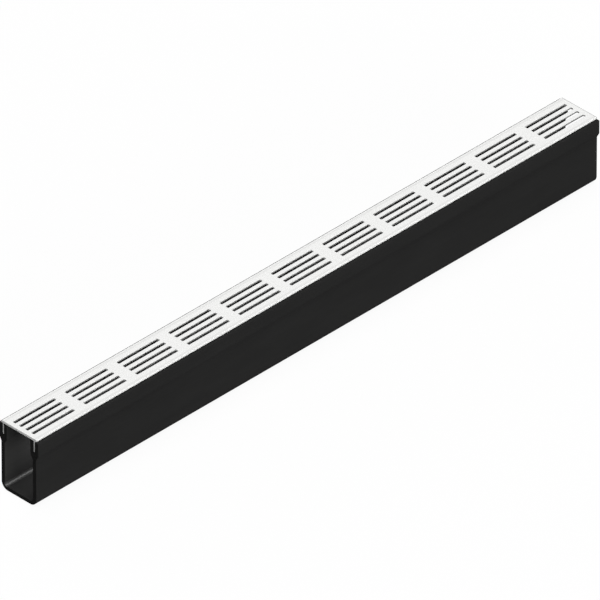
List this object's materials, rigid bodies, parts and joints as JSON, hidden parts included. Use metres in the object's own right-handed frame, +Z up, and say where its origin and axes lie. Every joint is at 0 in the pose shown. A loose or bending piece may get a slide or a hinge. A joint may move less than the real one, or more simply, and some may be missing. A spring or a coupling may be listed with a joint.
{
  "type": "drainage channel",
  "caption": "Straight open-ended U-section drainage trough with grooved rims, and a slotted metal grating whose two legs stand in the grooves.",
  "frame": {"origin": "middle of the trough's underside, in the plane that it stands on", "axes": "+X along the channel, +Y across it, +Z up towards the grating"},
  "size_m": [1, 0.0702, 0.1025],
  "materials": {
    "channel_plastic": "black extruded plastic, matte",
    "grating_metal": "pale mill finish, fine lines along the run"
  },
  "bodies": {
    "root": {"channel_body": "channel_plastic", "grating": "grating_metal"}
  },
  "joints": []
}
